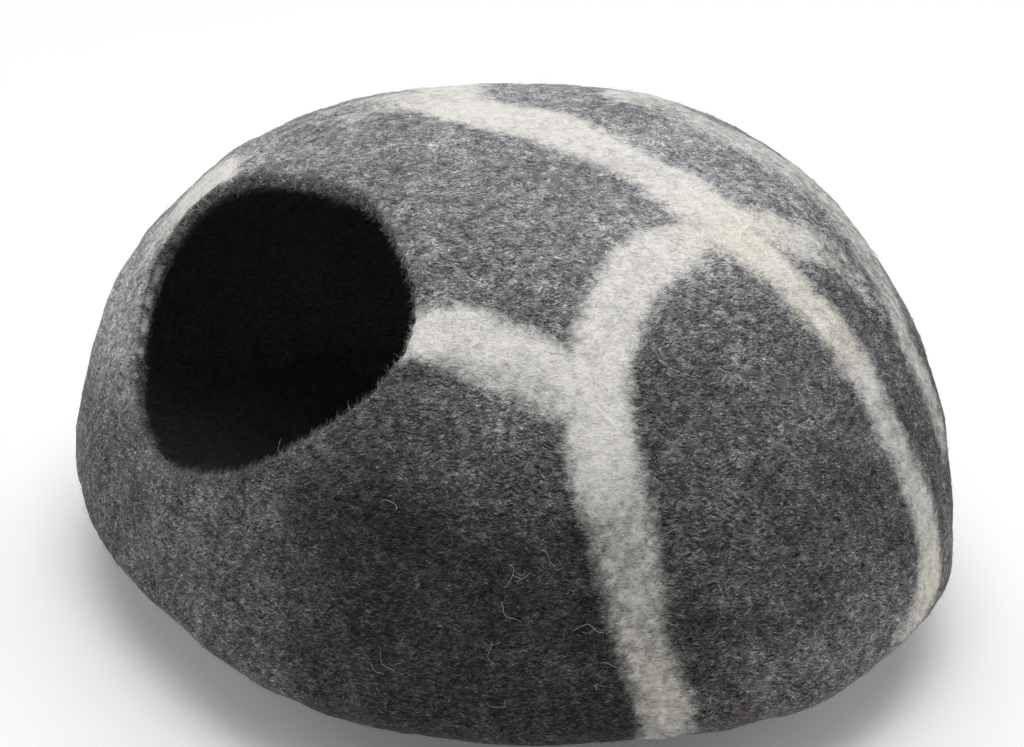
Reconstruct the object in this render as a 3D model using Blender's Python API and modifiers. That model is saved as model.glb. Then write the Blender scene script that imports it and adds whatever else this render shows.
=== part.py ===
"""Felt cat cave: one seamless, hollow, pebble-shaped shell of thick felt with one round entrance.

Metres, +Z up. The origin is on the floor under the middle of the cave, and the entrance
looks towards -Y and upwards.
"""
import math

import bmesh
import bpy
from mathutils import Vector

# Outer form of the pebble
MEAN_RADIUS = 0.206           # mean radius of the plan, about 42 cm across
HEIGHT = 0.230                # floor to crown
WIDEST_HEIGHT = 0.049         # height of the widest line above the floor
BASE_SHARE = 0.50             # flat underside, as a share of the plan radius
SHOULDER_POWER = 2.60         # fullness of the dome's side
CROWN_POWER = 2.02            # fullness of the dome's top
CROWN_SHIFT = (-0.019, 0.019)
CENTRING = (0.0018, -0.0070, 0.0)   # brings the middle of the uneven outline over the origin
# Uneven plan: number of lobes, share of the mean radius, heading of a lobe in degrees
PLAN_LOBES = ((2, 0.064, 28.6), (3, 0.034, 95.6), (4, 0.025, 26.1))

# Felt wall
WALL = 0.008
RIM_ROUNDING = 0.0032         # softened edge around the entrance
RIM_STEPS = 3
RIM_ANGLE = 50.0              # degrees; only the rim's two edges are sharper than this

# Entrance: a cone of directions around an axis that leaves the den forwards and upwards
ENTRANCE_MIDDLE = (-0.008, -0.125, 0.170)
ENTRANCE_HEADING = -85.2      # degrees in plan, 0 is +X
ENTRANCE_RISE = 46.4          # degrees above level
ENTRANCE_DEPTH = 0.130        # from the entrance back to the middle of the den
ENTRANCE_SPREAD = 32.6        # mean half angle of the entrance seen from there
# Rounded triangular outline: number of lobes, extra degrees, heading of a lobe in degrees
ENTRANCE_LOBES = ((1, 2.95, -164.7), (2, 2.43, 8.9), (3, 1.70, 30.1), (4, 0.77, -11.5), (5, 0.91, 21.9))

# Grid of the shell, counted in rings from the entrance down to the middle of the underside
COLUMNS = 64
DOME_RINGS = 18               # entrance to the widest line
TUCK_RINGS = 6                # widest line to the edge of the underside
BASE_RINGS = 3

# Search for the surface along a straight line from inside the den
LONGEST_REACH = 0.5
HALVINGS = 40

FELT_GREY = (0.085, 0.085, 0.088, 1.0)
FELT_ROUGHNESS = 1.0


def clear_scene():
    for item in list(bpy.data.objects):
        bpy.data.objects.remove(item, do_unlink=True)


def new_collection(name):
    group = bpy.data.collections.new(name)
    bpy.context.scene.collection.children.link(group)
    return group


def felt_material():
    material = bpy.data.materials.new("charcoal_felt")
    material.use_nodes = True
    shader = material.node_tree.nodes["Principled BSDF"]
    shader.inputs["Base Color"].default_value = FELT_GREY
    shader.inputs["Roughness"].default_value = FELT_ROUGHNESS
    shader.inputs["Metallic"].default_value = 0.0
    return material


def waves(lobes, heading):
    """Sum of cosine lobes at a heading in radians."""
    return sum(size * math.cos(count * (heading - math.radians(turn))) for count, size, turn in lobes)


def plan_radius(heading):
    return MEAN_RADIUS * (1.0 + waves(PLAN_LOBES, heading))


def tuck_share(drop):
    """Share of the plan radius below the widest line; drop is 0 there and 1 on the floor."""
    return BASE_SHARE + (1.0 - BASE_SHARE) * (1.0 - drop ** 2)


def profile_share(height):
    """Largest share of the plan radius that the pebble reaches at a height."""
    if height <= WIDEST_HEIGHT:
        return tuck_share(1.0 - height / WIDEST_HEIGHT)
    climb = (height - WIDEST_HEIGHT) / (HEIGHT - WIDEST_HEIGHT)
    return (1.0 - climb ** CROWN_POWER) ** (1.0 / SHOULDER_POWER)


def inside_pebble(point):
    if not 0.0 < point.z < HEIGHT:
        return False
    climb = max(0.0, (point.z - WIDEST_HEIGHT) / (HEIGHT - WIDEST_HEIGHT))
    x = point.x - CROWN_SHIFT[0] * climb
    y = point.y - CROWN_SHIFT[1] * climb
    return math.hypot(x, y) < plan_radius(math.atan2(y, x)) * profile_share(point.z)


def surface_point(start, direction):
    """Where a straight line from inside the den leaves the pebble's outer surface."""
    near = 0.0
    far = LONGEST_REACH
    for _ in range(HALVINGS):
        middle = 0.5 * (near + far)
        if inside_pebble(start + direction * middle):
            near = middle
        else:
            far = middle
    return start + direction * near


def entrance_axes(rise_degrees):
    """An axis with the entrance's heading, its level cross axis and its upward cross axis."""
    heading = math.radians(ENTRANCE_HEADING)
    rise = math.radians(rise_degrees)
    level = math.cos(rise)
    outward = Vector((level * math.cos(heading), level * math.sin(heading), math.sin(rise)))
    across = Vector((-math.sin(heading), math.cos(heading), 0.0))
    return outward, across, outward.cross(across)


def dome_point(turn, share):
    """A point between the entrance's edge (share 0) and the widest line (share 1)."""
    facing = entrance_axes(ENTRANCE_RISE)[0]
    den_middle = Vector(ENTRANCE_MIDDLE) - facing * ENTRANCE_DEPTH
    start = den_middle.lerp(Vector((0.0, 0.0, WIDEST_HEIGHT)), share)
    outward, across, upward = entrance_axes(ENTRANCE_RISE + (90.0 - ENTRANCE_RISE) * share)
    rim = math.radians(ENTRANCE_SPREAD + waves(ENTRANCE_LOBES, turn))
    angle = rim + (0.5 * math.pi - rim) * share
    side = across * math.cos(turn) + upward * math.sin(turn)
    return surface_point(start, outward * math.cos(angle) + side * math.sin(angle))


def underside_point(turn, share, height):
    across, back = entrance_axes(90.0)[1:]
    side = across * math.cos(turn) + back * math.sin(turn)
    reach = plan_radius(math.atan2(side.y, side.x)) * share
    return Vector((side.x * reach, side.y * reach, height))


def shell_point(turn, ring):
    if ring <= DOME_RINGS:
        return dome_point(turn, ring / DOME_RINGS)
    drop = (ring - DOME_RINGS) / TUCK_RINGS
    if drop <= 1.0:
        return underside_point(turn, tuck_share(drop), WIDEST_HEIGHT * (1.0 - drop))
    inward = (ring - DOME_RINGS - TUCK_RINGS) / BASE_RINGS
    return underside_point(turn, BASE_SHARE * (1.0 - inward), 0.0)


def make_shell(group):
    """A sphere, opened at its top pole and moved onto the pebble, with its wall to the inside."""
    rings = DOME_RINGS + TUCK_RINGS + BASE_RINGS
    sphere = bmesh.new()
    bmesh.ops.create_uvsphere(sphere, u_segments=COLUMNS, v_segments=rings + 1, radius=1.0)
    top = max(sphere.verts, key=lambda vert: vert.co.z)
    bmesh.ops.delete(sphere, geom=[top], context="VERTS")
    for vert in sphere.verts:
        turn = math.atan2(vert.co.y, vert.co.x)
        polar = math.acos(max(-1.0, min(1.0, vert.co.z)))
        ring = round(polar * (rings + 1) / math.pi) - 1
        vert.co = shell_point(turn, ring)
    bmesh.ops.recalc_face_normals(sphere, faces=sphere.faces)
    mesh = bpy.data.meshes.new("felt_shell")
    sphere.to_mesh(mesh)
    sphere.free()

    shell = bpy.data.objects.new("felt_shell", mesh)
    group.objects.link(shell)
    shell.location = CENTRING
    mesh.materials.append(felt_material())
    mesh.shade_smooth()

    wall = shell.modifiers.new("felt_wall", "SOLIDIFY")
    wall.thickness = WALL
    wall.offset = -1.0
    wall.use_even_offset = True

    rounding = shell.modifiers.new("soft_rim", "BEVEL")
    rounding.width = RIM_ROUNDING
    rounding.segments = RIM_STEPS
    rounding.limit_method = "ANGLE"
    rounding.angle_limit = math.radians(RIM_ANGLE)
    return shell


clear_scene()
cave = new_collection("felt_cat_cave")
make_shell(cave)
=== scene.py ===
"""Looks of the felt cat cave: a seamless shell of heather felt with pale veins, and its fuzz."""
import math

import bpy
import numpy as np
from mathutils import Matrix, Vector


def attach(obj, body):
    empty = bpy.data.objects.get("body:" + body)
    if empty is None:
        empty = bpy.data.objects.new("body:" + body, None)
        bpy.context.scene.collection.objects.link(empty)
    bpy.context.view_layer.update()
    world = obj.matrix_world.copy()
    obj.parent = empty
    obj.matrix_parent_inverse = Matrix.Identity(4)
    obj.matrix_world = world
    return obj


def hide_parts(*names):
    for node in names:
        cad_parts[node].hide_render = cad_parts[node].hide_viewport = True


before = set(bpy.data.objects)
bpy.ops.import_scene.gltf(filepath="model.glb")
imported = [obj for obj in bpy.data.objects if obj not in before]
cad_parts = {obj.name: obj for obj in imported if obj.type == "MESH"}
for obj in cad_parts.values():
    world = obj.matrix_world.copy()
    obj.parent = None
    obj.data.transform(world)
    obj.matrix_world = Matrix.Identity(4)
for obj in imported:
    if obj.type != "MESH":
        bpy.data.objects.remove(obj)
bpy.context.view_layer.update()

NODE = "felt_shell"
BODY = "root"

# ------------ the pebble's form, in metres and degrees
MEAN_RADIUS = 0.206           # mean radius of the plan
HEIGHT = 0.230                # floor to crown
WIDEST_HEIGHT = 0.049         # height of the widest line above the floor
BASE_SHARE = 0.50             # flat underside, as a share of the plan radius
SHOULDER_POWER = 2.60         # fullness of the dome's side
CROWN_POWER = 2.02            # fullness of the dome's top
CROWN_SHIFT = (-0.019, 0.019)
CENTRING = np.array((0.0018, -0.0070, 0.0))   # brings the middle of the uneven outline over the origin
# Uneven plan: number of lobes, share of the mean radius and heading of a lobe
PLAN_LOBES = ((2, 0.064, 28.6), (3, 0.034, 95.6), (4, 0.025, 26.1))
WALL = 0.008
# Entrance: a cone of directions round an axis that leaves the den forwards and upwards
ENTRANCE_MIDDLE = np.array((-0.008, -0.125, 0.170))
ENTRANCE_HEADING = -85.2      # 0 is +X
ENTRANCE_RISE = 46.4
ENTRANCE_DEPTH = 0.130        # from the entrance back to the middle of the den
ENTRANCE_SPREAD = 32.6        # mean half angle of the entrance seen from there
# Rounded triangular outline: number of lobes, extra degrees and heading of a lobe
ENTRANCE_LOBES = ((1, 2.95, -164.7), (2, 2.43, 8.9), (3, 1.70, 30.1), (4, 0.77, -11.5), (5, 0.91, 21.9))
# Search for the surface along a straight line from inside the den
LONGEST_REACH = 0.5
HALVINGS = 34

# ------------ the fine mesh
COLUMNS = 400
RIM_RINGS = 9                 # rings that round the felt's cut edge over
RIM_REACH = 0.0055            # how far from the edge the rounding starts
DOME_RINGS = 118
DOME_CROWDING = 1.15          # power above 1 that draws the dome's rings towards the entrance
TUCK_RINGS = 16
FLOOR_ROW = RIM_RINGS + DOME_RINGS + TUCK_RINGS   # where the underside starts
BASE_RINGS = 8
INNER_STEP = 4                # inside the den only each fourth ring is kept
PATH_STEPS = 80               # steps in measuring the way from the entrance to the widest line

# Uneven felting: wavelength, height and number of waves
LUMPS = ((0.085, 0.0007, 10), (0.030, 0.00030, 24), (0.013, 0.00016, 40))
OUTER_LUMP_SEED = 11
INNER_LUMP_SEED = 23
INNER_LUMP_SHARE = 0.7        # the den's side is a little smoother
FLOOR_FADE = 0.012            # the lumps fade out below this height
# Small waves in the cut edge: how many go round the entrance, and their height
CUT_WAVES = (19, 27, 34, 45, 58, 71, 90)
CUT_HEIGHT = 0.00021
CUT_SEED = 37

# ------------ pale veins, as (x, y, z, width, paleness)
TOP_VEIN = (
    (-0.1052, -0.0398, 0.2188, 0.040, 0.30), (-0.0959, -0.0229, 0.2228, 0.038, 0.62),
    (-0.0848, -0.0070, 0.2255, 0.038, 0.92), (-0.0650, 0.0023, 0.2282, 0.038, 1.00),
    (-0.0414, 0.0102, 0.2297, 0.039, 1.00), (-0.0201, 0.0194, 0.2300, 0.034, 0.96),
    (0.0027, 0.0275, 0.2297, 0.030, 0.94), (0.0248, 0.0354, 0.2282, 0.028, 0.84),
    (0.0441, 0.0423, 0.2256, 0.029, 0.84), (0.0617, 0.0474, 0.2218, 0.033, 1.00),
    (0.0795, 0.0507, 0.2167, 0.038, 1.00),
)
RIGHT_VEIN = (
    (0.0801, 0.0503, 0.2166, 0.038, 1.00), (0.0937, 0.0555, 0.2109, 0.030, 1.00),
    (0.1056, 0.0608, 0.2046, 0.023, 0.98), (0.1161, 0.0659, 0.1978, 0.019, 0.84),
    (0.1265, 0.0692, 0.1905, 0.019, 0.80), (0.1343, 0.0736, 0.1833, 0.019, 0.86),
    (0.1402, 0.0779, 0.1767, 0.020, 0.78), (0.1485, 0.0813, 0.1675, 0.019, 0.70),
    (0.1569, 0.0854, 0.1565, 0.018, 0.64), (0.1666, 0.0904, 0.1398, 0.018, 0.57),
    (0.1749, 0.0961, 0.1205, 0.019, 0.60), (0.1803, 0.1020, 0.0997, 0.020, 0.66),
    (0.1835, 0.1054, 0.0810, 0.023, 0.74), (0.1868, 0.1047, 0.0655, 0.027, 0.84),
    (0.1943, 0.0942, 0.0557, 0.019, 0.66), (0.2025, 0.0785, 0.0533, 0.010, 0.35),
)
LEFT_BRANCH = (
    (0.0828, 0.0453, 0.2163, 0.019, 1.00), (0.0925, 0.0290, 0.2138, 0.023, 0.95),
    (0.0944, 0.0142, 0.2135, 0.029, 0.93), (0.0994, 0.0001, 0.2107, 0.029, 0.92),
    (0.1071, -0.0123, 0.2057, 0.027, 0.93), (0.1165, -0.0241, 0.1985, 0.027, 0.94),
    (0.1251, -0.0348, 0.1904, 0.027, 0.97), (0.1321, -0.0410, 0.1834, 0.026, 1.00),
)
DOWN_VEIN = (
    (0.1315, -0.0406, 0.1840, 0.026, 1.00), (0.1430, -0.0465, 0.1723, 0.028, 0.95),
    (0.1566, -0.0525, 0.1559, 0.030, 0.82), (0.1725, -0.0538, 0.1345, 0.029, 0.52),
    (0.1850, -0.0556, 0.1117, 0.023, 0.48), (0.1954, -0.0555, 0.0871, 0.020, 0.52),
    (0.2014, -0.0528, 0.0702, 0.021, 0.55), (0.2050, -0.0502, 0.0576, 0.022, 0.54),
    (0.2040, -0.0480, 0.0400, 0.021, 0.48), (0.1700, -0.0380, 0.0120, 0.018, 0.30),
)
ENTRANCE_VEIN = (
    (0.0697, -0.1024, 0.1905, 0.021, 1.00), (0.0766, -0.0961, 0.1914, 0.022, 1.00),
    (0.0858, -0.0833, 0.1941, 0.026, 0.94), (0.1010, -0.0719, 0.1916, 0.024, 0.92),
    (0.1162, -0.0607, 0.1872, 0.021, 0.95), (0.1300, -0.0498, 0.1818, 0.021, 0.95),
)
ENTRANCE_SHADE = (
    (0.0885, -0.0923, 0.1879, 0.012, 0.70), (0.1022, -0.0826, 0.1856, 0.015, 0.72),
    (0.1160, -0.0731, 0.1816, 0.015, 0.70), (0.1288, -0.0631, 0.1770, 0.015, 0.70),
    (0.1380, -0.0535, 0.1738, 0.014, 0.74),
)
FAINT_BRANCH = (
    (0.0852, 0.0632, 0.2126, 0.023, 0.90), (0.0893, 0.0770, 0.2076, 0.026, 0.66),
    (0.0942, 0.0893, 0.2012, 0.027, 0.58), (0.0976, 0.1005, 0.1943, 0.025, 0.46),
    (0.1032, 0.1087, 0.1866, 0.022, 0.34), (0.1127, 0.1114, 0.1788, 0.018, 0.20),
    (0.1227, 0.1103, 0.1722, 0.015, 0.08),
)
BACK_VEIN = (
    (-0.0290, 0.0934, 0.2211, 0.032, 0.30), (-0.0051, 0.1061, 0.2168, 0.042, 0.56),
    (0.0071, 0.1148, 0.2123, 0.042, 0.62), (0.0187, 0.1233, 0.2065, 0.042, 0.58),
    (0.0278, 0.1360, 0.1968, 0.042, 0.46), (0.0447, 0.1420, 0.1875, 0.042, 0.44),
    (0.0570, 0.1430, 0.1822, 0.042, 0.42), (0.0743, 0.1391, 0.1782, 0.034, 0.42),
    (0.0908, 0.1364, 0.1717, 0.027, 0.44), (0.1058, 0.1329, 0.1649, 0.021, 0.50),
    (0.1204, 0.1292, 0.1567, 0.018, 0.52), (0.1298, 0.1299, 0.1462, 0.019, 0.54),
    (0.1355, 0.1340, 0.1331, 0.022, 0.54), (0.1407, 0.1361, 0.1214, 0.023, 0.52),
    (0.1457, 0.1367, 0.1110, 0.020, 0.36),
)
LEFT_PATCH = (
    (-0.1045, -0.0985, 0.1997, 0.004, 0.60), (-0.1092, -0.1010, 0.1960, 0.011, 1.08),
    (-0.1143, -0.1045, 0.1915, 0.028, 1.18), (-0.1185, -0.1095, 0.1866, 0.043, 1.08),
    (-0.1190, -0.1175, 0.1805, 0.050, 0.62), (-0.1170, -0.1275, 0.1745, 0.040, 0.30),
    (-0.1158, -0.1369, 0.1656, 0.034, 0.26), (-0.1116, -0.1467, 0.1559, 0.022, 0.10),
)
# The hidden side carries more veins of the same kind
FAR_VEIN = (
    (-0.0650, 0.0030, 0.2280, 0.028, 0.95), (-0.0850, 0.0095, 0.2246, 0.030, 0.95),
    (-0.1065, 0.0172, 0.2190, 0.036, 0.92), (-0.1347, 0.0138, 0.2070, 0.033, 0.88),
    (-0.1592, 0.0104, 0.1900, 0.031, 0.84), (-0.1801, 0.0111, 0.1650, 0.029, 0.80),
    (-0.1922, 0.0182, 0.1350, 0.028, 0.76), (-0.1934, 0.0323, 0.1050, 0.026, 0.70),
    (-0.1899, 0.0428, 0.0750, 0.025, 0.64), (-0.1840, 0.0499, 0.0500, 0.023, 0.58),
    (-0.1587, 0.0483, 0.0250, 0.020, 0.45), (-0.1217, 0.0380, 0.0100, 0.018, 0.20),
)
FAR_BRANCH = (
    (-0.0415, 0.0887, 0.2215, 0.036, 0.56), (-0.0620, 0.1058, 0.2120, 0.032, 0.60),
    (-0.0805, 0.1196, 0.1980, 0.030, 0.66), (-0.0975, 0.1338, 0.1750, 0.030, 0.70),
    (-0.1060, 0.1479, 0.1450, 0.029, 0.70), (-0.1024, 0.1619, 0.1150, 0.027, 0.66),
    (-0.0919, 0.1732, 0.0850, 0.025, 0.60), (-0.0810, 0.1782, 0.0550, 0.023, 0.55),
    (-0.0684, 0.1668, 0.0300, 0.020, 0.42), (-0.0479, 0.1225, 0.0100, 0.018, 0.15),
)
FAR_LINK = (
    (-0.1801, 0.0111, 0.1650, 0.020, 0.70), (-0.1741, 0.0364, 0.1580, 0.022, 0.62),
    (-0.1644, 0.0604, 0.1530, 0.022, 0.56), (-0.1539, 0.0839, 0.1470, 0.021, 0.52),
    (-0.1419, 0.1074, 0.1410, 0.021, 0.52), (-0.1276, 0.1311, 0.1330, 0.022, 0.56),
    (-0.1046, 0.1589, 0.1200, 0.024, 0.62),
)
FOOT_VEIN = (
    (0.0750, 0.1613, 0.1500, 0.012, 0.12), (0.0790, 0.1698, 0.1300, 0.018, 0.36),
    (0.0793, 0.1778, 0.1050, 0.022, 0.50), (0.0743, 0.1837, 0.0800, 0.022, 0.54),
    (0.0642, 0.1875, 0.0550, 0.021, 0.50), (0.0442, 0.1765, 0.0300, 0.019, 0.40),
    (0.0271, 0.1364, 0.0120, 0.016, 0.15),
)
VEINS = (TOP_VEIN, RIGHT_VEIN, LEFT_BRANCH, DOWN_VEIN, ENTRANCE_VEIN, ENTRANCE_SHADE, FAINT_BRANCH,
         BACK_VEIN, LEFT_PATCH, FAR_VEIN, FAR_BRANCH, FAR_LINK, FOOT_VEIN)
VEIN_SOFTNESS = 0.0062        # how far a vein's edge fades to either side
VEIN_CORE = 1.25              # cover in a wide vein's middle; above 1 keeps the edge's raggedness out of it
VEIN_STEPS = 6                # short straight lengths between two of a vein's points
# Buttery tint in the pale wool: place and reach
CREAM_SPOTS = (((0.095, 0.060, 0.209), 0.030), ((0.122, 0.068, 0.195), 0.022), ((0.142, 0.078, 0.176), 0.020),
               ((0.186, 0.105, 0.062), 0.030), ((0.202, -0.053, 0.065), 0.036))

# ------------ wool colours, linear
PALE_WOOL = (0.835, 0.811, 0.765)
CREAM_WOOL = (0.835, 0.805, 0.705)
LINING_WOOL = (0.235, 0.231, 0.236)
DEN_FLOOR_SHADE = 0.22           # painted shade: the den's floor is painted this share as light as its walls
# Painted light and shade in the grey wool: darkest low on the front, lighter to the sides and on the crown,
# as the light falls
PAINTED_SHADE_HEADING = -32.0          # painted shade: the wool is painted darkest low down at this heading, in degrees
GREY_FRONT = 0.020            # its shade
# How much lighter the low wool is painted elsewhere, as painted light on the sides; left and right are as
# seen in front of the darkest wool
GREY_LEFT = 0.050
GREY_RIGHT = 0.024
GREY_FOOT = 0.052             # at the right side's foot
GREY_SHOULDER = 0.135         # painted light on the left side above its widest line
GREY_FAR = 0.085              # on the far side
GREY_REAR = 0.055             # where the two sides meet behind
GREY_TOP = 0.150              # shade of the crown, lighter by painted light from above
GREY_BACK = 0.080             # how much lighter the crown is towards +Y
GREY_CROWN_LEFT = 0.045       # and towards -X
LEAST_GREY = 0.8 * GREY_FRONT
# Lighter and darker clouds in the grey: place, reach and how much lighter
CLOUDS = (((0.127, -0.086, 0.166), 0.034, 0.032), ((0.185, -0.021, 0.132), 0.034, 0.020),
          ((0.090, -0.151, 0.129), 0.040, -0.014))
# Dark band round the felt's cut edge, partly darker wool and partly painted shade. Places round the entrance
# are in degrees.
EDGE_BAND = 0.0092            # width at its widest
EDGE_BAND_LEAST = 0.0014      # width elsewhere
EDGE_BAND_TURN = 136.0        # where it is widest
EDGE_BAND_SPREAD = 46.0       # how far round it stays wide
EDGE_GREY_AND_SHADE = 0.056             # its shade, darker wool with painted shade, where the wool round it is lighter
# Cream flecks on the cut edge: place round the entrance and half length
EDGE_FLECKS = ((187.0, 3.6), (195.0, 2.0), (203.0, 2.9), (212.5, 2.2))
FLECK_REACH = 0.0007          # how far they reach out from the edge, in metres
FLECK_COVER = 0.62
FLECK_PALENESS = 0.70
# A small faint stain: place and reach
STAIN = ((0.2139, -0.0164, 0.0454), 0.006)
STAIN_WOOL = (0.085, 0.045, 0.045)
STAIN_STRENGTH = 0.6
# Bits of straw caught in the wool
STRAW_BITS = ((-0.0174, -0.0574, 0.2236), (-0.0246, -0.0514, 0.2250), (0.1918, -0.0776, 0.0668),
              (0.1835, -0.0035, 0.1394))
STRAW = (0.62, 0.55, 0.36)
# The fibres lie mostly across this direction, so they run round the cave
LIE = (-0.35, 0.20, 0.90)
LIE_SPREAD = 0.85             # how much the lie changes from patch to patch
# Layers of matted fibres: size of a patch, length and thickness of a fibre, and an offset for each layer
FIBRE_LAYERS = ((0.0056, 0.0036, 0.00070, (0.0, 0.0, 0.0)), (0.0046, 0.0030, 0.00062, (0.31, 0.17, 0.43)),
                (0.0085, 0.0050, 0.00115, (0.71, 0.53, 0.29)))
# Thin light hairs in each layer: level of the pattern they follow, and their width in it
FIBRE_LINES = ((0.50, 0.060), (0.52, 0.055), (0.48, 0.038))
WARP_SCALE = 170.0            # scales of the wool's broader patterns, per metre
BLOTCH_SCALE = 190.0
CLOUD_SCALE = 42.0
WARP_REACH = 0.0034           # how far the fibres' places wander, in metres

# ------------ hairs
# Short hairs all over the felt: number in a piece, and each piece with its seed
SURFACE_HAIRS = 7100
SURFACE_FUZZ = (("felt_fuzz_a", 101), ("felt_fuzz_b", 202), ("felt_fuzz_c", 606))
# Hairs on the entrance's edge: piece, number, lengths, radii, tones, curl, lean over the opening, where they
# start and end round the entrance, and seed
RIM_FUZZ = (
    ("entrance_fuzz", 3500, (0.0015, 0.0040), (0.00005, 0.00009), (0.05, 0.32), 0.8, 0.8, (0, 360), 303),
    ("entrance_hairs", 850, (0.0025, 0.0048), (0.00008, 0.00012), (0.22, 0.60), 0.9, 0.7, (-8, 225), 707),
    ("entrance_curls", 1000, (0.0026, 0.0052), (0.00006, 0.00010), (0.10, 0.34), 1.3, 0.15, (215, 352), 808),
)
# Pale hairs that lie loosely: piece, number, lengths, radii, tones and seed
LONG_HAIRS = ("long_hairs", 420, (0.006, 0.016), (0.00007, 0.00012), (0.35, 0.80), 505)
SHORT_STEPS = 5               # straight lengths in a short hair, and in a long one
LONG_STEPS = 12
HAIR_SINK = 0.0002            # how deep a hair's root is set in the felt
HAIR_TIP = 0.55               # thickness before the tip, as a share of that at the root
HAIR_WAVE = 0.09              # sideways wave, as a share of a hair's length
LIGHT_HAIRS = 0.55            # share of the short hairs that are lighter than the wool
WHITE_HAIRS = 0.055           # share that are far lighter, and their tones
WHITE_TONES = (0.22, 0.52)

# ------------ camera and light
PHOTO_SIZE = (1024.0, 747.0)
CAMERA_HEADING = 60.0         # degrees from -Y towards +X
CAMERA_RISE = 28.0
CAMERA_DISTANCE = 1.6
CAMERA_AIM = Vector((0.0018, -0.0070, 0.10))
FOCAL_PIXELS = 3349.3
PHOTO_MIDDLE = (515.3, 403.4)
SENSOR = 36.0                 # millimetres
# Soft lamps: name, place, size and power
LAMPS = (("overhead", (-0.45, 0.45, 2.2), 2.4, 31.0), ("overhead_front", (0.7, -0.35, 2.8), 1.8, 27.0),
         ("left_side", (-1.0, -1.9, 1.2), 1.6, 9.0), ("right_side", (0.9, 1.9, 1.0), 1.6, 8.0))
LAMP_AIM = (0.0, 0.0, 0.1)
SKY_STRENGTH = 0.20
FLOOR_SIZE = 24.0
FLOOR_COLOUR = (0.93, 0.93, 0.93, 1.0)
FLOOR_GLOW = 0.10


def waves(lobes, heading):
    """Sum of cosine lobes at a heading in radians."""
    return sum(size * np.cos(count * (heading - math.radians(turn))) for count, size, turn in lobes)


def unit(vectors):
    return vectors / np.maximum(np.linalg.norm(vectors, axis=-1, keepdims=True), 1e-12)


def plan_radius(heading):
    return MEAN_RADIUS * (1.0 + waves(PLAN_LOBES, heading))


def tuck_share(drop):
    """Share of the plan radius below the widest line; drop is 0 there and 1 on the floor."""
    return BASE_SHARE + (1.0 - BASE_SHARE) * (1.0 - drop ** 2)


def inside_pebble(points):
    x, y, z = points[..., 0], points[..., 1], points[..., 2]
    climb = np.clip((z - WIDEST_HEIGHT) / (HEIGHT - WIDEST_HEIGHT), 0.0, 1.0)
    x = x - CROWN_SHIFT[0] * climb
    y = y - CROWN_SHIFT[1] * climb
    reach = np.hypot(x, y) / plan_radius(np.arctan2(y, x))
    above = (1.0 - climb ** CROWN_POWER) ** (1.0 / SHOULDER_POWER)
    below = tuck_share(1.0 - np.clip(z / WIDEST_HEIGHT, 0.0, 1.0))
    return (z > 0.0) & (z < HEIGHT) & (reach < np.where(z > WIDEST_HEIGHT, above, below))


def surface_points(start, direction):
    """Where straight lines from inside the den leave the pebble's outer surface."""
    near = np.zeros(direction.shape[:-1])
    far = np.full(direction.shape[:-1], LONGEST_REACH)
    for _ in range(HALVINGS):
        middle = 0.5 * (near + far)
        inside = inside_pebble(start + middle[..., None] * direction)
        near = np.where(inside, middle, near)
        far = np.where(inside, far, middle)
    return start + near[..., None] * direction


def facing(rise):
    """Directions at the entrance's heading that rise by so many degrees."""
    heading = math.radians(ENTRANCE_HEADING)
    rise = np.radians(rise)
    return np.stack((np.cos(rise) * math.cos(heading), np.cos(rise) * math.sin(heading), np.sin(rise)), -1)


def dome_points(turn, share):
    """Outer surface between the entrance's edge (share 0) and the widest line (share 1)."""
    heading = math.radians(ENTRANCE_HEADING)
    outward = facing(ENTRANCE_RISE + (90.0 - ENTRANCE_RISE) * share)
    across = np.array((-math.sin(heading), math.cos(heading), 0.0))
    upward = np.cross(outward, across)
    den_middle = ENTRANCE_MIDDLE - facing(ENTRANCE_RISE) * ENTRANCE_DEPTH
    waist_middle = np.array((0.0, 0.0, WIDEST_HEIGHT))
    start = den_middle + (waist_middle - den_middle) * share[..., None]
    rim = np.radians(ENTRANCE_SPREAD + waves(ENTRANCE_LOBES, turn))
    angle = rim + (0.5 * math.pi - rim) * share
    side = across * np.cos(turn)[..., None] + upward * np.sin(turn)[..., None]
    return surface_points(start, outward * np.cos(angle)[..., None] + side * np.sin(angle)[..., None])


def underside_points(turn, share, height):
    """A level ring of points at a share of the plan radius."""
    heading = math.radians(ENTRANCE_HEADING)
    across = np.array((-math.sin(heading), math.cos(heading)))
    back = np.array((-math.cos(heading), -math.sin(heading)))
    side = across * np.cos(turn)[:, None] + back * np.sin(turn)[:, None]
    reach = plan_radius(np.arctan2(side[:, 1], side[:, 0])) * share
    return np.column_stack((side * reach[:, None], np.full(len(turn), height)))


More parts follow.
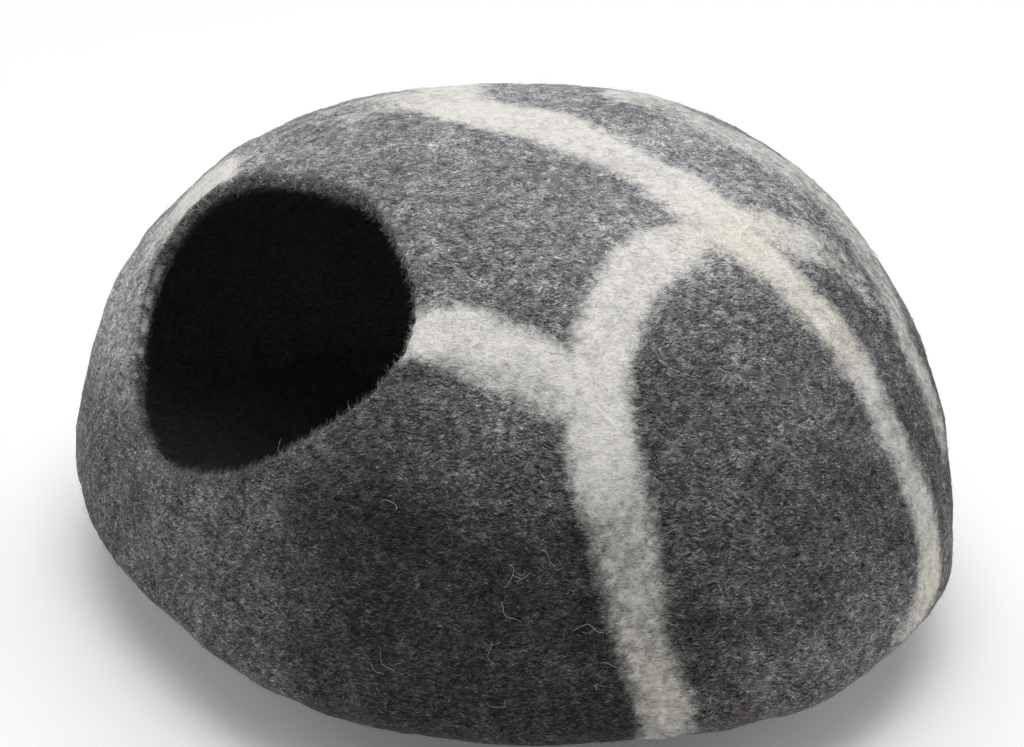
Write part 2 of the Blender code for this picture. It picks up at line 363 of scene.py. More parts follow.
def outer_rings():
    """Rows of points from the entrance's edge to the underside, and how far from that edge the dome's are."""
    turn = np.linspace(0.0, 2.0 * math.pi, COLUMNS, endpoint=False)
    coarse = np.linspace(0.0, 1.0, PATH_STEPS)
    turns, shares = np.meshgrid(turn, coarse)
    path = dome_points(turns, shares)
    steps = np.linalg.norm(np.diff(path, axis=0), axis=2)
    way = np.concatenate((np.zeros((1, COLUMNS)), np.cumsum(steps, axis=0)))

    rim_way = RIM_REACH * (1.0 - np.cos(np.linspace(0.0, 0.5 * math.pi, RIM_RINGS + 1)))
    rest = np.linspace(0.0, 1.0, DOME_RINGS + 1)[1:] ** DOME_CROWDING
    beyond = way[-1] - RIM_REACH
    ways = np.vstack([np.full(COLUMNS, d) for d in rim_way] + [RIM_REACH + beyond * s for s in rest])
    share = np.stack([np.interp(ways[:, c], way[:, c], coarse) for c in range(COLUMNS)], axis=1)
    share[-1] = 1.0
    dome = dome_points(np.broadcast_to(turn, share.shape), share)
    rows = list(dome)
    for step in range(1, TUCK_RINGS + 1):
        drop = step / TUCK_RINGS
        rows.append(underside_points(turn, tuck_share(drop), WIDEST_HEIGHT * (1.0 - drop)))
    for step in range(1, BASE_RINGS):
        rows.append(underside_points(turn, BASE_SHARE * (1.0 - step / BASE_RINGS), 0.0))
    return np.array(rows), ways


def grid_faces(first, second):
    """Quads between two rows of point numbers."""
    return np.column_stack((first, second, np.roll(second, -1), np.roll(first, -1)))


def pole_faces(row, pole):
    """Triangles from a row of point numbers to one point."""
    return np.column_stack((row, np.full(COLUMNS, pole), np.roll(row, -1)))


def row_numbers(row):
    """The point numbers in a row."""
    return np.arange(row * COLUMNS, (row + 1) * COLUMNS)


def point_normals(points, quads, triangles):
    normals = np.zeros_like(points)
    for faces in (quads, triangles):
        a, b, c = (points[faces[:, k]] for k in (0, 1, 2))
        face_normal = np.cross(b - a, c - a)
        for k in range(faces.shape[1]):
            np.add.at(normals, faces[:, k], face_normal)
    return unit(normals)


def lumps(points, seed):
    """Low, smooth unevenness: many weak waves in random directions, as heights."""
    random = np.random.default_rng(seed)
    total = np.zeros(len(points))
    for length, height, count in LUMPS:
        directions = unit(random.normal(size=(count, 3)))
        phases = random.uniform(0.0, 2.0 * math.pi, count)
        lengths = length * random.uniform(0.8, 1.25, count)
        weight = height * math.sqrt(2.0 / count)
        for direction, phase, size in zip(directions, phases, lengths):
            total += weight * np.sin(points @ direction * (2.0 * math.pi / size) + phase)
    return total


def smooth_path(rows):
    """A smooth curve through a vein's points, with its width and paleness."""
    p = np.array(rows, float)
    p = np.vstack((2 * p[0] - p[1], p, 2 * p[-1] - p[-2]))
    out = []
    for k in range(1, len(p) - 2):
        for t in np.linspace(0.0, 1.0, VEIN_STEPS, endpoint=False):
            a, b, c, d = p[k - 1], p[k], p[k + 1], p[k + 2]
            out.append(0.5 * (2 * b + (c - a) * t + (2 * a - 5 * b + 4 * c - d) * t ** 2
                              + (3 * b - a - 3 * c + d) * t ** 3))
    out.append(p[-2])
    return np.array(out)


def vein_cover(points):
    """How far each point lies in a pale vein (0 outside, 0.5 on its edge) and how pale it is there."""
    cover = np.zeros(len(points))
    total = np.zeros(len(points))
    shares = np.zeros(len(points))
    for rows in VEINS:
        path = smooth_path(rows)
        own = np.zeros(len(points))
        pale = np.zeros(len(points))
        for a, b in zip(path[:-1], path[1:]):
            along = b[:3] - a[:3]
            t = np.clip((points - a[:3]) @ along / max(along @ along, 1e-12), 0.0, 1.0)
            distance = np.linalg.norm(points - (a[:3] + t[:, None] * along), axis=1)
            half = 0.5 * (a[3] + t * (b[3] - a[3]))
            here = np.clip(0.5 + (half - distance) / (2.0 * VEIN_SOFTNESS), 0.0, VEIN_CORE)
            pale = np.where(here > own, a[4] + t * (b[4] - a[4]), pale)
            own = np.maximum(own, here)
        cover = np.maximum(cover, own)
        total += pale * own ** 3
        shares += own ** 3
    return cover, total / np.maximum(shares, 1e-9)


def soft_spot(points, place, reach):
    """1 at a place, fading out round it."""
    return np.exp(-(np.linalg.norm(points - np.array(place), axis=1) / reach) ** 2)


def cream_tint(points):
    tint = np.zeros(len(points))
    for place, reach in CREAM_SPOTS:
        tint = np.maximum(tint, soft_spot(points, place, reach))
    return tint


def smooth_step(low, high, value):
    t = np.clip((value - low) / (high - low), 0.0, 1.0)
    return t * t * (3.0 - 2.0 * t)


def grey_with_painted_light(points):
    """Grey of the wool with painted light and shade: lightest on the crown, darkest low on the front."""
    x, y, height = points[:, 0], points[:, 1], points[:, 2]
    # degrees from the painted darkest wool: above 0 to its right, below 0 to its left
    turned = (np.degrees(np.arctan2(y, x)) - PAINTED_SHADE_HEADING + 180.0) % 360.0 - 180.0
    left = smooth_step(15.0, 50.0, -turned)
    right = smooth_step(16.0, 42.0, turned)
    foot = smooth_step(10.0, 45.0, turned) * smooth_step(-0.095, -0.060, -height)
    shoulder = smooth_step(50.0, 80.0, -turned) * smooth_step(0.09, 0.13, height)
    far = smooth_step(75.0, 108.0, np.abs(turned))
    rear = smooth_step(100.0, 175.0, np.abs(turned))
    sides = GREY_LEFT * left + GREY_RIGHT * right + GREY_FOOT * foot + GREY_SHOULDER * shoulder
    low = GREY_FRONT + sides * (1.0 - rear) + GREY_REAR * rear + GREY_FAR * far
    top = GREY_TOP + GREY_BACK * smooth_step(-0.07, 0.06, y) + GREY_CROWN_LEFT * smooth_step(0.02, 0.09, -x)
    # painted light: the wool grows lighter upwards in two steps
    rise = 0.26 * smooth_step(0.12, 0.18, height) + 0.74 * smooth_step(0.185, 0.222, height)
    grey = low + (top - low) * rise
    for place, reach, lighter in CLOUDS:
        grey = grey + lighter * soft_spot(points, place, reach)
    return np.maximum(grey, LEAST_GREY)


def store(mesh, name, values):
    """Keep one number at each of a mesh's points, for its material."""
    attribute = mesh.attributes.new(name, "FLOAT", "POINT")
    attribute.data.foreach_set("value", np.ascontiguousarray(values, dtype=np.float32))


def new_mesh_object(name, points, quads, triangles):
    mesh = bpy.data.meshes.new(name)
    faces = [tuple(f) for f in quads.tolist()] + [tuple(f) for f in triangles.tolist()]
    mesh.from_pydata(points.tolist(), [], faces)
    mesh.update()
    mesh.shade_smooth()
    piece = bpy.data.objects.new(name, mesh)
    bpy.context.scene.collection.objects.link(piece)
    return piece


def dress(piece, material):
    piece.data.materials.append(material)
    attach(piece, BODY)


# ------------ the shell


def edge_band(way, turn):
    """Darker wool and painted shade: 1 on the felt's cut edge, falling to 0 a few millimetres out over the
    outer surface.
    """
    off = (turn - EDGE_BAND_TURN + 180.0) % 360.0 - 180.0
    width = EDGE_BAND_LEAST + (EDGE_BAND - EDGE_BAND_LEAST) * np.exp(-(off / EDGE_BAND_SPREAD) ** 2)
    return 1.0 - smooth_step(0.25, 1.0, way / width)


def edge_flecks(way, turn):
    """How much of the cut edge's wool is cream."""
    flecks = np.zeros(len(way))
    for place, half in EDGE_FLECKS:
        flecks = np.maximum(flecks, np.exp(-((turn - place) / half) ** 2))
    return FLECK_COVER * flecks * np.exp(-(way / FLECK_REACH) ** 2)


class Shell:
    """The felt wall: outer and inner surface, joined by a rounded edge round the entrance."""

    def __init__(self):
        rows, ways = outer_rings()
        self.rows = len(rows)
        points = np.vstack((rows.reshape(-1, 3), np.zeros((1, 3)))) + CENTRING
        self.quads = np.vstack([grid_faces(row_numbers(r), row_numbers(r + 1)) for r in range(self.rows - 1)])
        self.fan = pole_faces(row_numbers(self.rows - 1), len(points) - 1)
        self.normals = point_normals(points, self.quads, self.fan)

        self.way = np.full(len(points), 1.0)
        self.way[: len(ways) * COLUMNS] = ways.reshape(-1)
        near_edge = np.clip(1.0 - self.way / RIM_REACH, 0.0, 1.0)
        roll = 0.5 * WALL * (1.0 - np.sqrt(1.0 - near_edge ** 2))
        fade = np.clip(points[:, 2] / FLOOR_FADE, 0.0, 1.0)
        bump = lumps(points, OUTER_LUMP_SEED) * fade
        cut = self.uneven_cut(points)
        self.outer = points + self.normals * (bump - roll)[:, None] + cut
        self.outer[:, 2] = np.maximum(self.outer[:, 2], 0.0)
        inner_bump = lumps(points, INNER_LUMP_SEED) * INNER_LUMP_SHARE * (1.0 - near_edge)
        self.inner = points + self.normals * (inner_bump + bump * near_edge - (WALL - roll))[:, None] + cut

    def uneven_cut(self, points):
        """Small waves of the entrance's hand-cut edge, within the felt's surface."""
        random = np.random.default_rng(CUT_SEED)
        turn = np.linspace(0.0, 2.0 * math.pi, COLUMNS, endpoint=False)
        wave = np.zeros(COLUMNS)
        for count in CUT_WAVES:
            wave += CUT_HEIGHT * np.sin(count * turn + random.uniform(0.0, 2.0 * math.pi))
        towards = unit(points[:COLUMNS] - points[RIM_RINGS * COLUMNS:(RIM_RINGS + 1) * COLUMNS])
        column = np.arange(len(points)) % COLUMNS
        fade = np.clip(1.0 - self.way / (2.5 * RIM_REACH), 0.0, 1.0) ** 2
        return towards[column] * (wave[column] * fade)[:, None]

    def build(self, material):
        """The closed felt: the outer surface, and behind it the den's side with fewer rings."""
        kept = list(range(1, RIM_RINGS + 1)) + list(range(RIM_RINGS + INNER_STEP, self.rows, INNER_STEP))
        outer_count = len(self.outer)
        inner_rows = [self.inner[row_numbers(r)] for r in kept]
        points = np.vstack([self.outer] + inner_rows + [self.inner[-1:]])
        numbers = [row_numbers(0)] + [outer_count + row_numbers(k) for k in range(len(kept))]
        inner_quads = np.vstack([grid_faces(a, b) for a, b in zip(numbers[:-1], numbers[1:])])
        inner_fan = pole_faces(numbers[-1], len(points) - 1)
        # the den's faces look the other way
        quads = np.vstack((self.quads, inner_quads[:, ::-1]))
        triangles = np.vstack((self.fan, inner_fan[:, ::-1]))
        piece = new_mesh_object("felt_cave", points, quads, triangles)
        inner_way = np.concatenate([self.way[row_numbers(r)] for r in kept] + [np.ones(1)])
        self.colour(piece.data, points, inner_way)
        dress(piece, material)
        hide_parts(NODE)
        return piece

    def colour(self, mesh, points, inner_way):
        """What the felt's material needs to know at each point."""
        outer_count = len(self.outer)
        column = np.concatenate((np.arange(outer_count), np.arange(len(inner_way)))) % COLUMNS
        turn = 360.0 * column / COLUMNS
        lining = np.zeros(len(points))
        lining[outer_count:] = 0.1 + 0.9 * np.clip(inner_way / (1.6 * RIM_REACH), 0.0, 1.0)
        band = np.ones(len(points))
        band[:outer_count] = edge_band(self.way, turn[:outer_count])
        flecks = edge_flecks(np.concatenate((self.way, inner_way)), turn)
        cover, pale = vein_cover(points)
        cover = cover * (1.0 - band)
        # grey wool with painted light and shade
        grey = grey_with_painted_light(points)
        store(mesh, "lining", lining)
        store(mesh, "vein", np.maximum(cover, flecks))
        store(mesh, "pale", np.where(flecks > cover, FLECK_PALENESS, pale))
        store(mesh, "cream", np.maximum(cream_tint(points), flecks))
        # the cut edge's band: darker wool with painted shade
        store(mesh, "grey", grey + (np.minimum(EDGE_GREY_AND_SHADE, grey) - grey) * band)
        store(mesh, "stain", soft_spot(points, *STAIN))


# ------------ loose fibres


def fibre_mesh(name, roots, normals, headings, lengths, rises, curls, radii, steps, seed, wave=HAIR_WAVE):
    """Thin closed three-sided hairs that leave the felt, bend over and taper to a point."""
    random = np.random.default_rng(seed)
    count = len(roots)
    side = unit(np.cross(normals, headings))
    points = np.zeros((count, steps + 1, 3))
    wiggle = random.uniform(0.0, 2.0 * math.pi, count)
    for k in range(steps + 1):
        s = k / steps
        forward = lengths * s * np.sinc(2.0 * curls * s / math.pi)
        sideways = lengths * curls * (s * np.sinc(curls * s / math.pi)) ** 2
        sideways = sideways + wave * lengths * (np.sin(2.5 * math.pi * s + wiggle) - np.sin(wiggle))
        lift = lengths * rises * np.sin(0.5 * math.pi * s) - HAIR_SINK
        points[:, k] = (roots + headings * forward[:, None] + side * sideways[:, None]
                        + normals * lift[:, None])
    tangent = unit(np.gradient(points, axis=1))
    first = unit(np.cross(tangent, normals[:, None, :]))
    second = np.cross(tangent, first)
    taper = np.linspace(1.0, HAIR_TIP, steps)[None, :, None]
    corners = []
    for angle in (0.0, 2.0 * math.pi / 3.0, 4.0 * math.pi / 3.0):
        offset = first[:, :steps] * math.cos(angle) + second[:, :steps] * math.sin(angle)
        corners.append(points[:, :steps] + offset * taper * radii[:, None, None])
    rings = np.stack(corners, axis=2)
    per_hair = steps * 3 + 1
    all_points = np.concatenate((rings.reshape(count, steps * 3, 3), points[:, steps:]), axis=1)
    quads = []
    triangles = [(0, 2, 1)]
    for k in range(steps):
        for corner in range(3):
            after = (corner + 1) % 3
            if k < steps - 1:
                quads.append((3 * k + corner, 3 * k + after, 3 * k + 3 + after, 3 * k + 3 + corner))
            else:
                triangles.append((3 * k + corner, 3 * k + after, 3 * steps))
    shift = (np.arange(count) * per_hair)[:, None, None]
    all_quads = (np.array(quads)[None] + shift).reshape(-1, 4)
    all_triangles = (np.array(triangles)[None] + shift).reshape(-1, 3)
    return new_mesh_object(name, all_points.reshape(-1, 3), all_quads, all_triangles), per_hair


def finish_hairs(piece, per_hair, tones, material):
    """Give each hair its brightness, and the piece its material and body."""
    store(piece.data, "tone", np.repeat(tones, per_hair))
    dress(piece, material)


def scatter(shell, count, seed, low_row, high_row):
    """Random places on the outer surface, even by area."""
    random = np.random.default_rng(seed)
    rows = np.arange(low_row, high_row)
    a = (rows[:, None] * COLUMNS + np.arange(COLUMNS)[None]).reshape(-1)
    b = (rows[:, None] * COLUMNS + (np.arange(COLUMNS)[None] + 1) % COLUMNS).reshape(-1)
    c = a + COLUMNS
    p = shell.outer
    area = np.linalg.norm(np.cross(p[b] - p[a], p[c] - p[a]), axis=1)
    pick = random.choice(len(a), count, p=area / area.sum())
    u, v = random.random((2, count, 1))
    roots = p[a[pick]] + (p[b[pick]] - p[a[pick]]) * u + (p[c[pick]] - p[a[pick]]) * v
    normals = unit(shell.normals[a[pick]] * (1 - u) + shell.normals[b[pick]] * u)
    return roots, normals, random


def hair_headings(normals, random, spread):
    """Directions in the surface, mostly round the cave, turned either way at random."""
    level = unit(np.cross(normals, np.array(LIE)) + random.normal(0.0, 0.15, normals.shape))
    level = unit(level - normals * np.sum(level * normals, axis=1, keepdims=True))
    other = np.cross(normals, level)
    turn = random.normal(0.0, spread, len(normals)) + math.pi * random.integers(0, 2, len(normals))
    return level * np.cos(turn)[:, None] + other * np.sin(turn)[:, None]


def fibre_tones(roots, random):
    """Each hair's brightness: wool grey with its painted light and shade, or vein wool where it grows, about
    half of them lighter.
    """
    count = len(roots)
    grey = grey_with_painted_light(roots)
    cover, pale = vein_cover(roots)
    tone = grey * random.uniform(0.4, 1.3, count)
    light = random.random(count) < LIGHT_HAIRS
    lighter = grey * random.uniform(1.0, 1.6, count) + random.uniform(0.02, 0.30, count) * (0.2 + 3.2 * grey)
    tone = np.where(light, lighter, tone)
    tone = np.where(random.random(count) < WHITE_HAIRS, random.uniform(*WHITE_TONES, count), tone)
    share = np.clip(cover * pale * random.uniform(0.75, 1.25, count), 0.0, 1.0)
    return tone + (random.uniform(0.60, 0.86, count) - tone) * share


def surface_fuzz(shell, material, name, seed):
    """Short hairs that lie close all over the outer surface; one in ten stands up a little."""
    count = SURFACE_HAIRS
    roots, normals, random = scatter(shell, count, seed, RIM_RINGS // 2, FLOOR_ROW - 2)
    lengths = random.uniform(0.0035, 0.0085, count)
    rises = random.uniform(0.01, 0.07, count)
    rises = rises + (random.random(count) < 0.10) * random.uniform(0.05, 0.25, count)
    curls = random.normal(0.0, 0.45, count)
    radii = random.uniform(0.000045, 0.000085, count)
    piece, per_hair = fibre_mesh(name, roots, normals, hair_headings(normals, random, 0.6), lengths, rises,
                                 curls, radii, SHORT_STEPS, seed + 1)
    finish_hairs(piece, per_hair, fibre_tones(roots, random), material)


def rim_fuzz(shell, material, name, count, lengths, radii, tones, curl, inward, turns, seed):
    """Hairs that stand out over the entrance, about a third of them from the den's side of its edge."""
    random = np.random.default_rng(seed)
    column = (random.uniform(*turns, count) * COLUMNS / 360.0).astype(int) % COLUMNS
    row = random.integers(0, RIM_RINGS, count)
    index = row * COLUMNS + column
    inner = random.random(count) < 0.35
    roots = np.where(inner[:, None], shell.inner[index], shell.outer[index])
    towards = unit(shell.outer[column] - shell.outer[RIM_RINGS * COLUMNS + column])
    normals = unit(shell.normals[index] * np.where(inner, -0.6, 1.0)[:, None] + 0.7 * towards)
    headings = unit(inward * towards + hair_headings(normals, random, 1.5))
    length = random.uniform(*lengths, count) * np.where(random.random(count) < 0.04, 1.3, 1.0)
    rises = random.uniform(0.0, 0.45, count)
    curls = random.normal(0.0, curl, count)
    piece, per_hair = fibre_mesh(name, roots, normals, headings, length, rises, curls,
                                 random.uniform(*radii, count), SHORT_STEPS, seed + 1,
                                 HAIR_WAVE + 0.08 * curl)
    tone = np.where(inner, 0.4, 1.0) * random.uniform(*tones, count)
    cover, pale = vein_cover(roots)
    tone = tone + (0.6 - tone) * np.clip(cover * pale, 0.0, 1.0) * np.where(inner, 0.0, 0.7)
    finish_hairs(piece, per_hair, tone, material)


def curly_hairs(shell, material, name, count, lengths, radii, tones, seed):
    """Pale, curly hairs that lie loosely on the felt."""
    roots, normals, random = scatter(shell, count, seed, RIM_RINGS + 4, FLOOR_ROW - 4)
    length = random.uniform(*lengths, count)
    rises = random.uniform(0.01, 0.06, count)
    curls = random.normal(0.0, 0.9, count)
    piece, per_hair = fibre_mesh(name, roots, normals, hair_headings(normals, random, 1.0), length, rises,
                                 curls, random.uniform(*radii, count), LONG_STEPS, seed + 1)
    finish_hairs(piece, per_hair, random.uniform(*tones, count), material)


def straw_bits(shell, material, name, seed):
    """Short, flat-lying bits of straw at chosen places."""
    nearest = [int(np.argmin(np.linalg.norm(shell.outer - np.array(place), axis=1))) for place in STRAW_BITS]
    random = np.random.default_rng(seed)
    count = len(nearest)
    normals = shell.normals[nearest]
    headings = hair_headings(normals, random, 0.8)
    lengths = random.uniform(0.0022, 0.0036, count)
    curls = random.normal(0.0, 0.2, count)
    radii = random.uniform(0.00022, 0.00034, count)
    piece, per_hair = fibre_mesh(name, shell.outer[nearest], normals, headings, lengths, np.full(count, 0.10),
                                 curls, radii, SHORT_STEPS, seed + 1)
    store(piece.data, "straw", np.ones(count * per_hair))
    finish_hairs(piece, per_hair, np.full(count, 0.6), material)


# ------------ materials


class Value:
    """A number in a material, so that sums read as plain sums."""

    def __init__(self, nodes, socket):
        self.nodes = nodes
        self.socket = socket

    def __add__(self, other):
        return self.nodes.math("ADD", self, other)

    def __sub__(self, other):
        return self.nodes.math("SUBTRACT", self, other)

    def __rsub__(self, other):
        return self.nodes.math("SUBTRACT", other, self)

    def __mul__(self, other):
        return self.nodes.math("MULTIPLY", self, other)


class Nodes:
    """Short ways to add and link shader nodes."""

    def __init__(self, name):
        self.material = bpy.data.materials.new(name)
        self.material.use_nodes = True
        self.tree = self.material.node_tree
        self.shader = self.tree.nodes["Principled BSDF"]

    def add(self, kind, **settings):
        node = self.tree.nodes.new(kind)
        for key, value in settings.items():
            setattr(node, key, value)
        return node

    def link(self, source, target):
        """Feed a socket from another one, or with a plain number or colour."""
        source = getattr(source, "socket", source)
        if hasattr(source, "links"):
            self.tree.links.new(source, target)
        else:
            target.default_value = source

    def surface(self, **values):
        """Set or feed the shader's own sockets, with _ for a space in a name."""
        for name, value in values.items():
            self.link(value, self.shader.inputs[name.replace("_", " ")])

    def math(self, operation, a, b=0.0, clamp=False):
        node = self.add("ShaderNodeMath", operation=operation, use_clamp=clamp)
        self.link(a, node.inputs[0])
        self.link(b, node.inputs[1])
        return Value(self, node.outputs[0])

    def exponent(self, power):
        return self.math("EXPONENT", power)

    def vector(self, operation, a, b=None):
        node = self.add("ShaderNodeVectorMath", operation=operation)
        self.link(a, node.inputs[0])
        if b is not None:
            self.link(b, node.inputs[1])
        return Value(self, node.outputs["Value"]) if operation == "DOT_PRODUCT" else node.outputs["Vector"]

    def scaled(self, a, size):
        node = self.add("ShaderNodeVectorMath", operation="SCALE")
        self.link(a, node.inputs[0])
        self.link(size, node.inputs["Scale"])
        return node.outputs["Vector"]

    def ramp(self, value, low, high, out_low=0.0, out_high=1.0, kind="SMOOTHSTEP"):
        node = self.add("ShaderNodeMapRange", interpolation_type=kind)
        for number, item in enumerate((value, low, high, out_low, out_high)):
            self.link(item, node.inputs[number])
        return Value(self, node.outputs[0])

    def straight(self, *numbers):
        return self.ramp(*numbers, kind="LINEAR")

    def noise(self, place, scale, detail=2.0, roughness=0.5):
        node = self.add("ShaderNodeTexNoise")
        self.link(place, node.inputs["Vector"])
        node.inputs["Scale"].default_value = scale
        node.inputs["Detail"].default_value = detail
        node.inputs["Roughness"].default_value = roughness
        return node

    def pattern(self, *settings):
        return Value(self, self.noise(*settings).outputs["Fac"])

    def colour(self, red, green, blue):
        node = self.add("ShaderNodeCombineColor")
        for number, item in enumerate((red, green, blue)):
            self.link(item, node.inputs[number])
        return node.outputs[0]

    def mix(self, share, a, b):
        node = self.add("ShaderNodeMix", data_type="RGBA")
        self.link(share, node.inputs[0])
        for item, socket in ((a, node.inputs[6]), (b, node.inputs[7])):
            self.link(item if hasattr(item, "links") else (*item, 1.0), socket)
        return node.outputs[2]

    def attribute(self, name):
        return Value(self, self.add("ShaderNodeAttribute", attribute_name=name).outputs["Fac"])

    def place(self):
        return self.add("ShaderNodeTexCoord").outputs["Object"]


def fibre_layer(nodes, place, normal, patch, long, short, offset):
    """Matted fibres: small patches, each with its own lie, drawn out along the surface."""
    moved = nodes.vector("ADD", place, offset)
    scaled = nodes.scaled(moved, 1.0 / patch)
    cells = nodes.add("ShaderNodeTexVoronoi", feature="F1")
    nodes.link(scaled, cells.inputs["Vector"])
    cells.inputs["Scale"].default_value = 1.0
    local = nodes.vector("SUBTRACT", scaled, cells.outputs["Position"])
    random = nodes.scaled(nodes.vector("SUBTRACT", cells.outputs["Color"], (0.5, 0.5, 0.5)), LIE_SPREAD)
    lie = nodes.vector("ADD", random, LIE)
    along = nodes.vector("NORMALIZE", nodes.vector("CROSS_PRODUCT", normal, lie))
    across = nodes.vector("CROSS_PRODUCT", normal, along)
    u = nodes.vector("DOT_PRODUCT", local, along)
    v = nodes.vector("DOT_PRODUCT", local, across) + u * u * 0.35   # fibres bend a little
    spread = nodes.add("ShaderNodeCombineXYZ")
    nodes.link(u * (patch / long), spread.inputs[0])
    nodes.link(v * (patch / short), spread.inputs[1])
    place_in_patch = nodes.vector("ADD", spread.outputs[0], nodes.scaled(cells.outputs["Color"], 60.0))
    return nodes.pattern(place_in_patch, 1.0, 1.5, 0.55)


def fibre_lines(nodes, streaks, middle, width):
    """Thin light hairs where a streak pattern crosses one level."""
    return nodes.ramp(nodes.math("ABSOLUTE", streaks - middle), width, 0.2 * width)


def matted_fibres(nodes, place):
    """The felt's fine streaks, its coarser ones and its thin light hairs."""
    normal = nodes.add("ShaderNodeNewGeometry").outputs["Normal"]
    wander = nodes.noise(place, WARP_SCALE, 2.0, 0.6).outputs["Color"]
    wander = nodes.scaled(nodes.vector("SUBTRACT", wander, (0.5, 0.5, 0.5)), WARP_REACH)
    warped = nodes.vector("ADD", place, wander)
    first, second, third = (fibre_layer(nodes, warped, normal, *layer) for layer in FIBRE_LAYERS)
    hairs = [fibre_lines(nodes, layer, *line) for layer, line in zip((first, second, third), FIBRE_LINES)]
    lines = nodes.math("MAXIMUM", nodes.math("MAXIMUM", hairs[0], hairs[1]), hairs[2])
    return nodes.math("MAXIMUM", first, second), third, lines


def fibre_power(nodes, shade, streaks, coarse, lines, blotch, cloud):
    """How much darker or lighter than the local shade each fibre is, as a power."""
    streak_part = nodes.straight(streaks, 0.46, 0.72, -0.62, 1.28)
    coarse_part = nodes.straight(coarse, 0.36, 0.66, -0.38, 0.38)
    blotch_part = nodes.straight(blotch, 0.30, 0.70, -0.50, 0.50)
    cloud_part = nodes.straight(cloud, 0.30, 0.70, -0.34, 0.34)
    patchiness = nodes.straight(shade, 0.02, 0.20, 0.85, 1.35)
    power = streak_part + (lines - 0.40) * 1.45 + ((blotch_part + coarse_part) * patchiness + cloud_part)
    return nodes.math("MINIMUM", power, power * 0.70 + 0.42)


def heather_grey(nodes, shade, power):
    """Grey wool round the local shade, a little bluish in the dark fibres."""
    contrast = nodes.math("MINIMUM", nodes.straight(shade, 0.02, 0.20, 1.22, 0.76), 1.20)
    grey = shade * nodes.exponent(power * contrast)
    return nodes.colour(grey, grey * 0.992, grey * nodes.straight(power, -0.9, 0.9, 1.13, 1.00))


def pale_wool(nodes, power):
    """Off-white wool, buttery in places, with some grey hairs carded in."""
    factor = nodes.math("MINIMUM", nodes.exponent((power - 0.10) * 0.18), 1.08)
    return nodes.scaled(nodes.mix(nodes.attribute("cream"), PALE_WOOL, CREAM_WOOL), factor)


def vein_share(nodes, power, blotch, cloud):
    """Share of pale wool: the veins' edges blend softly, and thin wool is mottled."""
    broad = (cloud - 0.5) * 0.55 + (blotch - 0.5) * 0.80
    fine = power * 0.055
    paleness = nodes.attribute("pale")
    cover = nodes.ramp(nodes.attribute("vein") + (broad * 0.35 + fine), 0.05, 0.95)
    mottling = (broad + fine) * ((1.25 - paleness) * 1.35)
    return nodes.math("MULTIPLY", cover, paleness + mottling, clamp=True)


def den_wool(nodes, place, power):
    """Near-black wool inside, with painted shade that makes it darkest on the den's floor."""
    tall = nodes.add("ShaderNodeSeparateXYZ")
    nodes.link(place, tall.inputs[0])
    # painted shade: darker towards the den's floor
    depth = nodes.ramp(tall.outputs[2], 0.012, 0.060, DEN_FLOOR_SHADE, 1.0)
    return nodes.scaled(LINING_WOOL, depth * nodes.exponent(power * 0.4))


def fibre_relief(nodes, streaks, blotch, lines):
    """The fine fibres' relief; the felt's larger unevenness is in its mesh."""
    bump = nodes.add("ShaderNodeBump")
    bump.inputs["Strength"].default_value = 0.9
    bump.inputs["Distance"].default_value = 1.0
    nodes.link(streaks * 0.00080 + blotch * 0.00050 + lines * 0.00010, bump.inputs["Height"])
    return bump.outputs[0]


def felt_material():
    nodes = Nodes("heather_felt")
    place = nodes.place()
    streaks, coarse, lines = matted_fibres(nodes, place)
    blotch = nodes.pattern(place, BLOTCH_SCALE, 3.0, 0.6)
    cloud = nodes.pattern(place, CLOUD_SCALE, 3.0, 0.55)
    shade = nodes.attribute("grey")
    power = fibre_power(nodes, shade, streaks, coarse, lines, blotch, cloud)
    grey = heather_grey(nodes, shade, power)
    outside = nodes.mix(vein_share(nodes, power, blotch, cloud), grey, pale_wool(nodes, power))
    outside = nodes.mix(nodes.attribute("stain") * STAIN_STRENGTH, outside, STAIN_WOOL)
    # the den's wool is reached across the rounded edge
    lining = nodes.ramp(nodes.attribute("lining") + power * 0.10, 0.30, 0.80)
    nodes.surface(Base_Color=nodes.mix(lining, outside, den_wool(nodes, place, power)),
                  Normal=fibre_relief(nodes, streaks, blotch, lines), Roughness=0.95,
                  Specular_IOR_Level=0.12, Sheen_Weight=0.04, Sheen_Roughness=0.6)
    return nodes.material


def fibre_material():
    nodes = Nodes("loose_wool")
    tone = nodes.attribute("tone") * nodes.straight(nodes.pattern(nodes.place(), 900.0), 0.3, 0.7, 0.75, 1.2)
    wool = nodes.colour(tone, tone * 0.985, tone * 0.955)
    nodes.surface(Base_Color=nodes.mix(nodes.attribute("straw"), wool, STRAW), Roughness=0.75,
                  Specular_IOR_Level=0.2)
    return nodes.material


def floor_material():
    nodes = Nodes("pale_floor")
    nodes.surface(Base_Color=FLOOR_COLOUR, Roughness=0.9, Specular_IOR_Level=0.0,
                  Emission_Color=(1.0, 1.0, 1.0, 1.0), Emission_Strength=FLOOR_GLOW)
    return nodes.material


# ------------ camera, floor and light


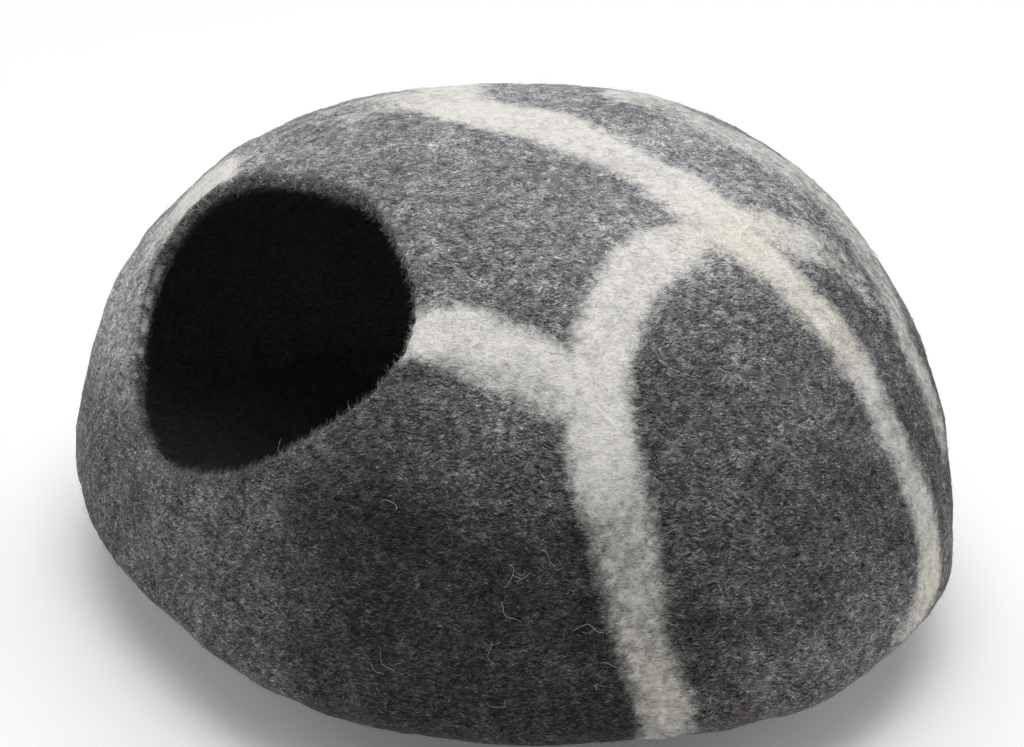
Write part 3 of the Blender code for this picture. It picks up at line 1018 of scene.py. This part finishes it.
def make_camera():
    heading, rise = math.radians(CAMERA_HEADING), math.radians(CAMERA_RISE)
    back = Vector((math.sin(heading) * math.cos(rise), -math.cos(heading) * math.cos(rise), math.sin(rise)))
    data = bpy.data.cameras.new("photo_camera")
    data.sensor_width = SENSOR
    data.lens = FOCAL_PIXELS * SENSOR / PHOTO_SIZE[0]
    data.shift_x = -(PHOTO_MIDDLE[0] - 0.5 * PHOTO_SIZE[0]) / PHOTO_SIZE[0]
    data.shift_y = (PHOTO_MIDDLE[1] - 0.5 * PHOTO_SIZE[1]) / PHOTO_SIZE[0]
    camera = bpy.data.objects.new("photo_camera", data)
    bpy.context.scene.collection.objects.link(camera)
    camera.location = CAMERA_AIM + back * CAMERA_DISTANCE
    camera.rotation_mode = "QUATERNION"
    camera.rotation_quaternion = (-back).to_track_quat("-Z", "Y")
    bpy.context.scene.camera = camera


def make_floor():
    bpy.ops.mesh.primitive_plane_add(size=FLOOR_SIZE, location=(0.0, 0.0, 0.0))
    floor = bpy.context.object
    floor.name = "studio_floor"
    floor.data.materials.append(floor_material())


def area_light(name, place, size, power):
    data = bpy.data.lights.new(name, "AREA")
    data.shape = "RECTANGLE"
    data.size = data.size_y = size
    data.energy = power
    light = bpy.data.objects.new(name, data)
    bpy.context.scene.collection.objects.link(light)
    light.location = place
    light.rotation_mode = "QUATERNION"
    light.rotation_quaternion = (Vector(LAMP_AIM) - Vector(place)).to_track_quat("-Z", "Y")


def make_light():
    world = bpy.data.worlds.new("studio")
    world.use_nodes = True
    world.node_tree.nodes["Background"].inputs["Color"].default_value = (1.0, 1.0, 1.0, 1.0)
    world.node_tree.nodes["Background"].inputs["Strength"].default_value = SKY_STRENGTH
    bpy.context.scene.world = world
    for lamp in LAMPS:
        area_light(*lamp)
    bpy.context.scene.view_settings.view_transform = "Standard"


def main():
    make_camera()
    make_floor()
    make_light()
    felt = felt_material()
    wool = fibre_material()
    shell = Shell()
    cave = shell.build(felt)
    for fuzz in SURFACE_FUZZ:
        surface_fuzz(shell, wool, *fuzz)
    for fuzz in RIM_FUZZ:
        rim_fuzz(shell, wool, *fuzz)
    curly_hairs(shell, wool, *LONG_HAIRS)
    straw_bits(shell, wool, "straw_bits", 909)


main()
